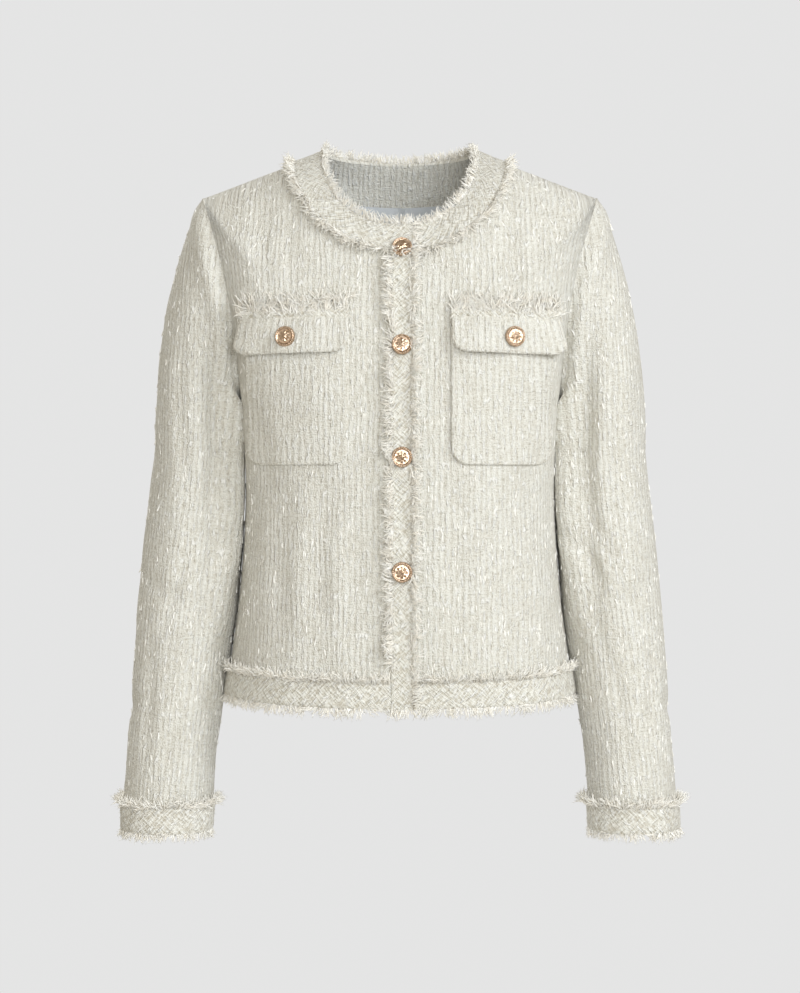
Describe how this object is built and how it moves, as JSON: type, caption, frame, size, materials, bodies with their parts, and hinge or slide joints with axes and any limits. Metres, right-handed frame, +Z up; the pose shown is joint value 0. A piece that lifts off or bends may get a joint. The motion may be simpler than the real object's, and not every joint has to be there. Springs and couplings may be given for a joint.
{
  "type": "cropped tweed jacket",
  "caption": "Cropped collarless tweed jacket, worn shape with no wearer: hanging sleeves, frayed bias bands, patch pockets with flaps and domed buttons.",
  "frame": {"origin": "midway between the two neck points, where the shoulder seams meet the neckline", "axes": "+X towards the wearer's left arm, +Y towards the back, +Z up; the front faces -Y"},
  "size_m": [0.5238, 0.2496, 0.6598],
  "materials": {
    "tweed": "cream boucle tweed, matt and nubby",
    "trim": "the same tweed cut on the bias",
    "yarn": "frayed off-white yarn, slightly glossy",
    "satin": "pale grey satin",
    "gold": "polished pale rose gold plating"
  },
  "bodies": {
    "root": {"front_right": "tweed", "front_left": "tweed", "back": "tweed", "sleeve_right": "tweed", "sleeve_left": "tweed", "neck_band": "trim", "placket_band": "trim", "hem_band": "trim", "cuff_band_right": "trim", "cuff_band_left": "trim", "pocket_right": "tweed", "pocket_left": "tweed", "flap_right": "tweed", "flap_left": "tweed", "facing_back": "tweed", "lining_back": "satin", "button_front_1": "gold", "button_front_2": "gold", "button_front_3": "gold", "button_front_4": "gold", "button_pocket_right": "gold", "button_pocket_left": "gold", "fringe_neck_inner": "yarn", "fringe_neck_outer": "yarn", "fringe_placket_right": "yarn", "fringe_placket_left": "yarn", "fringe_hem_upper": "yarn", "fringe_hem_lower": "yarn", "fringe_cuff_upper_right": "yarn", "fringe_cuff_upper_left": "yarn", "fringe_cuff_lower_right": "yarn", "fringe_cuff_lower_left": "yarn", "fringe_flap_right": "yarn", "fringe_flap_left": "yarn"}
  },
  "joints": []
}
